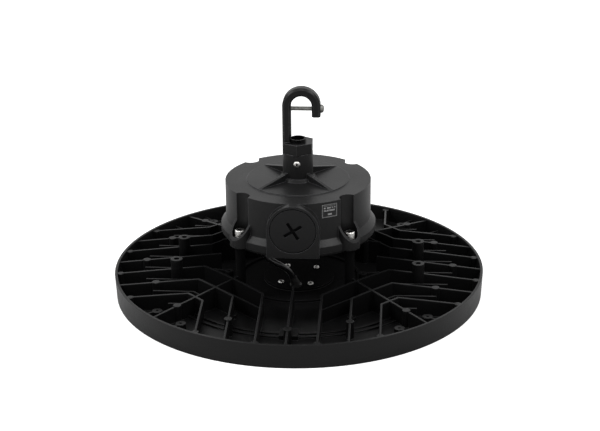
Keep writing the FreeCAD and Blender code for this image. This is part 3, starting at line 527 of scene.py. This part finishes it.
def cross_head(radius, height, shank_radius, shank_length):
    """A pan head screw with a crossed recess, its head above z 0 and its shank below."""
    tip, tip_share = 0.3 * mm, 0.7
    head = [(x * radius, z * height) for x, z in pan_head]
    shank = [(shank_radius, 0), (shank_radius, -shank_length + tip),
             (shank_radius * tip_share, -shank_length), (0, -shank_length)]
    bm = spun(head + shank, 28)
    long, wide, deep = recess_size
    for turn in (0.0, full_turn / 4):
        bar = bmesh.new()
        size = (long * radius, wide * radius, deep * height, 1.0)
        bmesh.ops.create_cube(bar, size=1.0, matrix=Matrix.Diagonal(size))
        bottom = [v for v in bar.verts if v.co.z < 0]
        bmesh.ops.scale(bar, vec=recess_taper, verts=bottom)
        place = Matrix.Translation((0, 0, height)) @ Matrix.Rotation(turn, 4, "Z")
        bmesh.ops.transform(bar, matrix=place, verts=bar.verts)
        bm = combined(bm, bar, recessed=True)
    return bm


# where a head faces: its turn from up, its axis, and the corner of its box that it lies at
facings = {
    "up": (Matrix.Identity(4), 2, 1),
    "down": (Matrix.Rotation(math.pi, 4, "X"), 2, 0),
    "front": (Matrix.Rotation(math.pi / 2, 4, "X"), 1, 0),
    "right": (Matrix.Rotation(math.pi / 2, 4, "Y"), 0, 1),
}

# where each node's small screws face, with their head height and shank radius in millimetres
small_screws = {
    "hub_cover_screws": ("up", 1.8, 1.5),
    "base_screws": ("down", 1.8, 1.5),
    "lens_screws": ("down", 1.7, 1.5),
    "led_board_screws": ("down", 1.0, 1.5),
    "stem_lock_screw": ("front", 2.2, 1.5),
    "hook_safety_screw": ("right", 3.0, 1.8),
}


def fitted_screws(node, facing, head_height, shank_radius):
    """Pan head screws in the places of a CAD node's plain ones, each stopped at its own turn."""
    turn, axis, end = facings[facing]
    boxes = islands(node)
    low, high = boxes[0]
    radius = (high - low)[(axis + 1) % 3] / 2
    screw = cross_head(radius, head_height, shank_radius, (high - low)[axis] - head_height)
    first_stop, next_stop = 0.4, 1.1
    places = []
    for k, box in enumerate(boxes):
        seat = (box[0] + box[1]) / 2
        seat[axis] = box[end][axis] + (-head_height if end else head_height)
        stop = Matrix.Rotation(first_stop + next_stop * k, 4, "Z")
        places.append(Matrix.Translation(seat) @ turn @ stop)
    return repeated(screw, places)


# ---------------------------------------------------------------- the light's pieces
class HIGHBAY_OT_castings(bpy.types.Operator):
    """Powder coat on the finned heat sink and the driver housing"""
    bl_idname = "highbay.castings"
    bl_label = "Castings"

    def execute(self, context):
        coat = context.scene.highbay_coat
        # the heat sink: a faint painted highlight on its edges, and painted shade over the hub
        sink = powder_coat("Heat sink coat", coat, coat.black, wear=1.3, hub_shade=True)
        dress(sink, "heat_sink")
        # the housing: the lighter, painted-light tone of the coat, and a strong painted highlight
        # along its edges
        dress(powder_coat("Housing coat", coat, coat.housing, wear=7.0), "driver_housing")
        return {"FINISHED"}


class HIGHBAY_OT_covers(bpy.types.Operator):
    """Coat on the pressed hub cover and the driver's base plate"""
    bl_idname = "highbay.covers"
    bl_label = "Covers"

    def execute(self, context):
        coat = context.scene.highbay_coat
        thin = 0.08 * mm
        # the hub cover lies wholly in the painted shade over the hub
        dress(powder_coat("Cover coat", coat, coat.black, thin, hub_shade=True), "hub_cover")
        dress(powder_coat("Base plate coat", coat, coat.black, thin, gloss=0.08), "driver_base")
        return {"FINISHED"}


class HIGHBAY_OT_hook(bpy.types.Operator):
    """Coat on the hook, and the stem with its cut thread"""
    bl_idname = "highbay.hook"
    bl_label = "Hook and stem"

    def execute(self, context):
        scene = context.scene
        coat, metal = scene.highbay_coat, scene.highbay_metal
        thin = 0.08 * mm
        # a strong painted highlight along the hook's edges
        dress(powder_coat("Hook coat", coat, coat.black, thin, gloss=0.04, wear=9.0), "hook")
        dark = plated_steel("Blackened steel", metal.stem, 0.36)
        dress(dark, "stem_nut")
        low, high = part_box("threaded_stem")
        crest, pitch = high.x, metal.thread_pitch
        root = crest - metal.thread_depth
        spare_turns, steps = 2, 32
        turns = math.ceil((high.z - low.z) / pitch) + spare_turns
        thread = [(root, 0), (crest, pitch * 0.45), (crest, pitch * 0.55), (root, pitch)]
        bm = spun(thread, steps, pitch, turns)
        bmesh.ops.translate(bm, verts=bm.verts, vec=(0, 0, low.z - pitch))
        for height, normal in ((low.z, (0, 0, -1)), (high.z, (0, 0, 1))):
            geometry = bm.verts[:] + bm.edges[:] + bm.faces[:]
            cut = bmesh.ops.bisect_plane(bm, geom=geometry, plane_co=(0, 0, height), plane_no=normal,
                                         clear_outer=True, dist=1e-7)
            rim = [e for e in cut["geom_cut"] if isinstance(e, bmesh.types.BMEdge)]
            bmesh.ops.contextual_create(bm, geom=rim)
        bmesh.ops.recalc_face_normals(bm, faces=bm.faces)
        bore = prism(steps, metal.stem_bore, high.z - metal.stem_bore_depth, high.z + mm)
        piece(combined(bm, bore), "stem_with_thread", dark, ["threaded_stem"], 20.0)
        return {"FINISHED"}


class HIGHBAY_OT_screws(bpy.types.Operator):
    """Screws with their recesses, and the washers under them"""
    bl_idname = "highbay.screws"
    bl_label = "Screws"

    def execute(self, context):
        scene = context.scene
        metal, sizes = scene.highbay_metal, scene.highbay_screws
        steel = plated_steel("Plated steel", metal.steel, 0.18)
        # the safety screw is darker steel all over: painted shade for its thread grooves
        dull = plated_steel("Thread shade steel", metal.safety, 0.46)
        # the recesses and sockets are near-black steel: painted shade in them
        recess = plated_steel("Recess shade", toned(metal.steel, 0.08), 0.5)
        dress(steel, "spring_washers", "flat_washers")
        dress(steel, "board_standoffs", "board_screws", "standoff_screws")
        for node, (facing, head, shank) in small_screws.items():
            screws = fitted_screws(node, facing, head * mm, shank * mm)
            finish = dull if node == "hook_safety_screw" else steel
            piece(screws, node + "_recessed", finish, [node], recess=recess)

        boxes = islands("housing_screws")
        low, high = boxes[0]
        radius, head, edge = (high.x - low.x) / 2, sizes.head_height, sizes.edge
        sides, inner = 2 * sizes.knurls, 1 - sizes.knurl_depth
        bm = prism(sides, radius, -head, -edge)
        for v in bm.verts:
            if round(math.atan2(v.co.y, v.co.x) / full_turn * sides) % 2:
                v.co.x, v.co.y = v.co.x * inner, v.co.y * inner
        top = max(bm.faces, key=lambda face: face.calc_center_median().z)
        bmesh.ops.inset_region(bm, faces=[top], thickness=0.9 * edge, depth=edge)
        socket = prism(6, sizes.socket / math.sqrt(3), -sizes.socket_depth, edge)
        bm = combined(bm, socket, recessed=True)
        into_head = 0.2 * mm
        shank = prism(24, sizes.shank_radius, low.z - high.z, -head + into_head)
        bm = combined(bm, shank, "UNION")
        first_stop = 0.3
        places = [place @ Matrix.Rotation(first_stop + k, 4, "Z")
                  for k, place in enumerate(middles(boxes, high.z))]
        piece(repeated(bm, places), "housing_screws_knurled", steel, ["housing_screws"],
              25.0, recess)
        return {"FINISHED"}


class HIGHBAY_OT_port_and_gland(bpy.types.Operator):
    """Moulded port plug and cable gland with their seals"""
    bl_idname = "highbay.port_and_gland"
    bl_label = "Port and gland"

    def execute(self, context):
        plastic = context.scene.highbay_plastic
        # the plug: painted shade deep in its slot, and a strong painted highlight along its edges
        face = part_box("port_plug")[0].y
        slot = (face + plastic.slot_start, face + plastic.slot_end)
        dress(moulded("Plug plastic", plastic.black, 0.42, specular=0.20, edge_highlight=14.0, shade_depths=slot),
              "port_plug")
        dress(moulded("Gland plastic", plastic.black, 0.34),
              "gland_body", "gland_dome_nut", "gland_lock_nut")
        dress(rubber("Black rubber", plastic.rubber), "hub_gasket", "port_seal", "gland_seal")
        return {"FINISHED"}


class HIGHBAY_OT_lead(bpy.types.Operator):
    """The driver's lead, its grommets and its connectors"""
    bl_idname = "highbay.lead"
    bl_label = "Lead"

    def execute(self, context):
        plastic = context.scene.highbay_plastic
        dress(moulded("Lead sheath", plastic.sheath, 0.30, 1.2 * mm, 0.1 * mm, specular=0.55),
              "driver_lead")
        dress(rubber("Grommet rubber", plastic.rubber, 0.5), "lower_grommet", "upper_grommet")
        dress(moulded("Connector nylon", plastic.nylon, 0.42), "led_connector", "lead_connector")
        return {"FINISHED"}


# a lens dome's half section in millimetres: first above the plate's lowest point, then above its face
dome_crown = ((0, 0.25), (1.2, 0.12), (2.6, 0), (4.2, 0.1), (5.8, 0.38), (7.2, 0.85))
dome_foot = ((8.2, -0.25), (8.5, 0.3), (0, 0.3))


class HIGHBAY_OT_lens(bpy.types.Operator):
    """Clear lens plate with a domed lens over each light emitter, and its gasket"""
    bl_idname = "highbay.lens"
    bl_label = "Lens plate"

    def execute(self, context):
        scene = context.scene
        optics = scene.highbay_optics
        silicone = rubber("Grey silicone", scene.highbay_plastic.silicone, 0.5, 0.08)
        dress(silicone, "lens_gasket", "base_gasket")
        low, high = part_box("lens_plate")
        radius, top, face, edge = high.x, high.z, optics.plate_face, optics.plate_edge
        bm = spun([(0, top), (radius - edge, top), (radius, top - edge), (radius, face + edge),
                   (radius - edge, face), (0, face)], 128)
        dome = spun([(r * mm, low.z + rise * mm) for r, rise in dome_crown] +
                    [(r * mm, face + rise * mm) for r, rise in dome_foot], optics.dome_rings)
        bm = combined(bm, repeated(dome, middles(islands("light_emitters"))), "UNION")
        well_above = 5.0 * mm
        hole = prism(24, optics.screw_hole, 0, well_above)
        bm = combined(bm, repeated(hole, middles(islands("lens_screws"))))
        f = Finish("Clear polycarbonate")
        swirl = f.noise(90.0, 2.0)
        fine = f.noise(900.0, 1.0)
        tint = f.blend(swirl, tuple(optics.lens), toned(optics.lens, 0.97))
        clear = f.surface(tint, 0.06 + fine * 0.08, f.bump(swirl, 0.02 * mm),
                          Transmission_Weight=1.0, IOR=1.58)
        piece(bm, "lens_plate_domed", clear, ["lens_plate"], 30.0)
        return {"FINISHED"}


# the radius of each ring of light emitters, and how many it has
emitter_rings = ((50.0 * mm, 8), (85.0 * mm, 16), (118.0 * mm, 24))


class HIGHBAY_OT_light_board(bpy.types.Operator):
    """White light board with its tracks, and the light emitters soldered to it"""
    bl_idname = "highbay.light_board"
    bl_label = "Light board"

    def execute(self, context):
        optics = context.scene.highbay_optics
        f = Finish("White solder mask")
        radius, turn = f.radius(), f.angle()
        # each emitter's land is a sector of its ring, with a narrow gap to its neighbours
        land_half, land_edge = 5.2 * mm, 5.6 * mm
        gap_start, gap_end = 0.018, 0.03
        lands = 0.0
        for ring, number in emitter_rings:
            away = f.math("ABSOLUTE", radius - ring)
            sector = (turn / full_turn + 1.5 / number) * number % 1.0
            gap = f.math("ABSOLUTE", sector - 0.5)
            wider = ring / emitter_rings[0][0]
            land = f.ramp(away, land_edge, land_half) * f.ramp(gap, gap_start * wider, gap_end * wider)
            lands = lands + land
        grime = f.noise(70.0, 4.0)
        grain = f.noise(2200.0, 1.0)
        base = f.blend(lands * 0.30, tuple(optics.mask), tuple(optics.land))
        base = f.blend(f.ramp(grime, 0.45, 0.8) * 0.12, base, tuple(optics.grime))
        relief = f.bump(lands * 0.8 + grain * 0.1, 0.06 * mm)
        dress(f.surface(base, 0.34 + grain * 0.1, relief), "led_board")

        boxes = islands("light_emitters")
        thick = boxes[0][1].z - boxes[0][0].z
        size, corner, rim, lip, sunk = 3.5 * mm, 0.25 * mm, 0.30 * mm, 0.12 * mm, 0.16 * mm
        bm = bmesh.new()
        bmesh.ops.create_cube(bm, size=1.0, matrix=Matrix.Diagonal((size, size, thick, 1.0)))
        upright = [e for e in bm.edges if abs(e.verts[0].co.z - e.verts[1].co.z) > thick / 2]
        bmesh.ops.bevel(bm, geom=upright, offset=corner, affect="EDGES", segments=2, profile=0.5,
                        material=-1)
        face = min(bm.faces, key=lambda side: side.calc_center_median().z)
        bmesh.ops.inset_region(bm, faces=[face], thickness=rim, depth=0.0)
        bmesh.ops.inset_region(bm, faces=[face], thickness=lip, depth=-sunk)
        places = []
        for low, high in boxes:
            middle = (low + high) / 2
            outward = Matrix.Rotation(math.atan2(middle.y, middle.x), 4, "Z")
            places.append(Matrix.Translation(middle) @ outward)
        package = moulded("Emitter package", optics.package, 0.36, edge_radius=0.1 * mm)
        piece(repeated(bm, places), "emitter_packages", package, ["light_emitters"])

        gel_radius, gel_low, gel_high = 1.28 * mm, 0.06 * mm, 0.2 * mm
        gel = prism(16, gel_radius, -thick / 2 + gel_low, -thick / 2 + gel_high)
        f = Finish("Phosphor gel")
        specks = f.noise(5000.0, 2.0)
        base = f.blend(specks, toned(optics.phosphor, 0.85), toned(optics.phosphor, 1.12))
        phosphor = f.surface(base, 0.22 + specks * 0.12, f.bump(specks, 0.01 * mm))
        piece(repeated(gel, places), "emitter_phosphor", phosphor)
        return {"FINISHED"}


class HIGHBAY_OT_electronics(bpy.types.Operator):
    """Finishes of the driver's board and the parts on it"""
    bl_idname = "highbay.electronics"
    bl_label = "Electronics"

    def execute(self, context):
        parts = context.scene.highbay_electronics
        f = Finish("Green solder mask")
        tracks = f.ramp(f.noise(1.0, 0.0, f.stretched((260.0, 900.0, 0.0))), 0.48, 0.54)
        base = f.blend(tracks * 0.6, tuple(parts.board), tuple(parts.track))
        dress(f.surface(base, 0.35 + tracks * 0.1, f.bump(tracks, 0.04 * mm)), "driver_board")
        dress(moulded("Ferrite and tape", parts.ferrite, 0.55), "transformer")

        f = Finish("Wound copper")
        low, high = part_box("choke")
        to_middle = {"Vector": f.place, "Location": tuple(-(low + high) / 2)}
        f.place = f.add("ShaderNodeMapping", None, to_middle)
        wire = f.math("SINE", f.angle() * parts.windings) * 0.5 + 0.5
        # darker between the turns: painted shade in the grooves
        base = f.blend(wire, tuple(parts.turn_shade), tuple(parts.copper))
        dress(f.surface(base, 0.30 + wire * 0.1, f.bump(wire, 0.3 * mm), Metallic=0.8), "choke")

        f = Finish("Capacitor sleeve")
        grain = f.noise(300.0, 2.0)
        stripe = f.ramp(f.noise(1.0, 0.0, f.stretched((120.0, 120.0, 0.0))), 0.60, 0.62)
        base = f.blend(stripe, tuple(parts.sleeve), tuple(parts.stripe))
        dress(f.surface(base, 0.28 + grain * 0.1, f.bump(grain, 0.02 * mm)), "capacitors")
        dress(moulded("Terminal green", parts.terminal, 0.45), "terminal_block")
        dress(moulded("Insulating film", parts.film, 0.30), "insulating_sheet")
        return {"FINISHED"}


class HIGHBAY_OT_rating_plate(bpy.types.Operator):
    """A plain plate with a border and bars on the housing's wall"""
    bl_idname = "highbay.rating_plate"
    bl_label = "Rating plate"

    def execute(self, context):
        plate = context.scene.highbay_plate
        wall, off_wall, second_sheet = 64.2 * mm, 0.05 * mm, 0.2 * mm
        middle, place = 95.4 * mm, math.radians(28.6)
        bm = bmesh.new()
        bmesh.ops.create_grid(bm, x_segments=16, y_segments=1, size=0.5, calc_uvs=False)
        uv = bm.loops.layers.uv.new("plate")
        for face in bm.faces:
            for loop in face.loops:
                loop[uv].uv = (loop.vert.co.x + 0.5, loop.vert.co.y + 0.5)
        radius = wall + off_wall
        for v in bm.verts:
            turn = place + v.co.x * plate.width / wall
            height = middle + v.co.y * plate.height
            v.co = (radius * math.sin(turn), -radius * math.cos(turn), height)
        # the vertices keep the flat grid's normals, so the second sheet goes up and not outward
        bmesh.ops.solidify(bm, geom=bm.faces, thickness=-second_sheet)

        f = Finish("Plate print", "UV")
        u, v = f.axis(0), f.axis(1)
        # from here on, places are shares of the plate's width and height
        inset = f.math("MINIMUM", f.math("MINIMUM", u, 1 - u), f.math("MINIMUM", v, 1 - v))
        border = f.ramp(inset, 0.07, 0.05)
        inside = f.ramp(inset, 0.11, 0.13)
        row = (v * 5.0) % 1.0
        in_row = f.ramp(row, 0.25, 0.35) * f.ramp(row, 0.90, 0.80)
        gaps = f.ramp(f.noise(1.0, 0.0, f.stretched((9.0, 5.0, 1.0))), 0.28, 0.36)
        bars = in_row * inside * gaps * f.ramp(v, 0.38, 0.42)
        block = (f.ramp(u, 0.36, 0.40) * f.ramp(u, 0.66, 0.62) *
                 f.ramp(v, 0.15, 0.18) * f.ramp(v, 0.30, 0.27))
        marks = border * 0.45 + (bars + block * 1.1) * 0.85
        wear = f.noise(30.0, 3.0)
        base = f.blend(marks, tuple(plate.ground), tuple(plate.marks))
        printed = f.surface(base, 0.34 + wear * 0.12, f.bump(marks, 0.02 * mm))
        piece(bm, "rating_plate", printed)
        return {"FINISHED"}


# each soft lamp's name, place, side and power
lamps = (
    ("Overhead", (-0.15, 0.25, 1.50), 1.5, 1.6),
    ("Front", (-0.05, -0.45, 1.40), 0.5, 2.5),
    ("Left", (-1.00, -0.36, 1.00), 0.5, 7.5),
    ("Right", (0.90, -0.46, 1.18), 0.5, 7.5),
)


class HIGHBAY_OT_stage(bpy.types.Operator):
    """Floor, soft lights and camera"""
    bl_idname = "highbay.stage"
    bl_label = "Stage"

    def execute(self, context):
        scene = context.scene
        stage = scene.highbay_stage
        bm = bmesh.new()
        bmesh.ops.create_circle(bm, cap_ends=True, segments=96, radius=stage.floor_radius)
        mesh = bpy.data.meshes.new("floor")
        bm.to_mesh(mesh)
        bm.free()
        floor = bpy.data.objects.new("floor", mesh)
        floor.location.z = cad_low.z - stage.floor_gap
        scene.collection.objects.link(floor)
        f = Finish("Floor")
        seen = f.add("ShaderNodeLightPath", None, None, "Is Camera Ray")
        base = f.blend(f.noise(12.0, 3.0), tuple(stage.floor), toned(stage.floor, 0.99))
        glow = f.blend(seen, black, tuple(stage.glow))
        mesh.materials.append(f.surface(base, 0.8, None, Emission_Color=glow, Emission_Strength=1.0,
                                        Specular_IOR_Level=0.1))

        world = bpy.data.worlds.new("Studio")
        scene.world = world
        sky = Nodes(world)
        camera_ray, glossy_ray, clear_ray = [
            sky.add("ShaderNodeLightPath", None, None, name)
            for name in ("Is Camera Ray", "Is Glossy Ray", "Is Transmission Ray")]
        direct = sky.math("MINIMUM", camera_ray + glossy_ray + clear_ray, 1.0)
        strength = direct * (1.0 - stage.sky) + stage.sky
        shine = sky.add("ShaderNodeBackground", None, {"Color": white, "Strength": strength})
        sky.add("ShaderNodeOutputWorld", None, {"Surface": shine})

        lit = Vector((0, 0, stage.lit_height))
        for name, place, size, power in lamps:
            lamp = bpy.data.lights.new(name, "AREA")
            lamp.shape, lamp.size, lamp.energy = "SQUARE", size, power
            light = bpy.data.objects.new(name, lamp)
            light.location = place
            light.rotation_euler = (lit - Vector(place)).to_track_quat("-Z", "Y").to_euler()
            scene.collection.objects.link(light)

        # the camera circles its target, rolls, and then aims a little beside it
        azimuth, elevation, roll = [math.radians(turn) for turn in (4.1, 23.41, 0.545)]
        target, aim_up, aim_right = Vector((0, 0, 21.0 * mm)), 0.0438, 0.001
        sa, ca = math.sin(azimuth), math.cos(azimuth)
        se, ce = math.sin(elevation), math.cos(elevation)
        sr, cr = math.sin(roll), math.cos(roll)
        right, up = Vector((ca, sa, 0)), Vector((-sa * se, ca * se, ce))
        across, upward = right * cr - up * sr, right * sr + up * cr
        place = target + stage.distance * Vector((sa * ce, -ca * ce, se))
        aim = target + upward * aim_up + across * aim_right
        back = (place - aim).normalized()
        across = upward.cross(back).normalized()
        upward = back.cross(across)
        view = bpy.data.cameras.new("Camera")
        view.lens, view.sensor_width = stage.lens, 36.0
        camera = bpy.data.objects.new("Camera", view)
        camera.matrix_world = Matrix((across, upward, back)).transposed().to_4x4()
        camera.location = place
        scene.collection.objects.link(camera)
        scene.camera = camera
        scene.view_settings.view_transform = "Standard"
        return {"FINISHED"}


operators = (HIGHBAY_OT_castings, HIGHBAY_OT_covers, HIGHBAY_OT_hook, HIGHBAY_OT_screws,
             HIGHBAY_OT_port_and_gland, HIGHBAY_OT_lead, HIGHBAY_OT_lens, HIGHBAY_OT_light_board,
             HIGHBAY_OT_electronics, HIGHBAY_OT_rating_plate, HIGHBAY_OT_stage)
groups = {"highbay_coat": HIGHBAY_PG_coat, "highbay_metal": HIGHBAY_PG_metal,
          "highbay_screws": HIGHBAY_PG_screws, "highbay_plastic": HIGHBAY_PG_plastic,
          "highbay_optics": HIGHBAY_PG_optics, "highbay_electronics": HIGHBAY_PG_electronics,
          "highbay_plate": HIGHBAY_PG_plate, "highbay_stage": HIGHBAY_PG_stage}


class HIGHBAY_PT_panel(bpy.types.Panel):
    """The light's operators"""
    bl_label = "High bay light"
    bl_idname = "HIGHBAY_PT_panel"
    bl_space_type = "VIEW_3D"
    bl_region_type = "UI"
    bl_category = "High bay"

    def draw(self, context):
        for operator in operators:
            self.layout.operator(operator.bl_idname)


def register():
    for group in groups.values():
        bpy.utils.register_class(group)
    for operator in operators:
        bpy.utils.register_class(operator)
    bpy.utils.register_class(HIGHBAY_PT_panel)
    for name, group in groups.items():
        setattr(bpy.types.Scene, name, PointerProperty(type=group))


def unregister():
    for name in groups:
        delattr(bpy.types.Scene, name)
    bpy.utils.unregister_class(HIGHBAY_PT_panel)
    for operator in reversed(operators):
        bpy.utils.unregister_class(operator)
    for group in groups.values():
        bpy.utils.unregister_class(group)


def main():
    register()
    for operator in operators:
        group, name = operator.bl_idname.split(".")
        getattr(getattr(bpy.ops, group), name)()


if __name__ == "__main__":
    main()
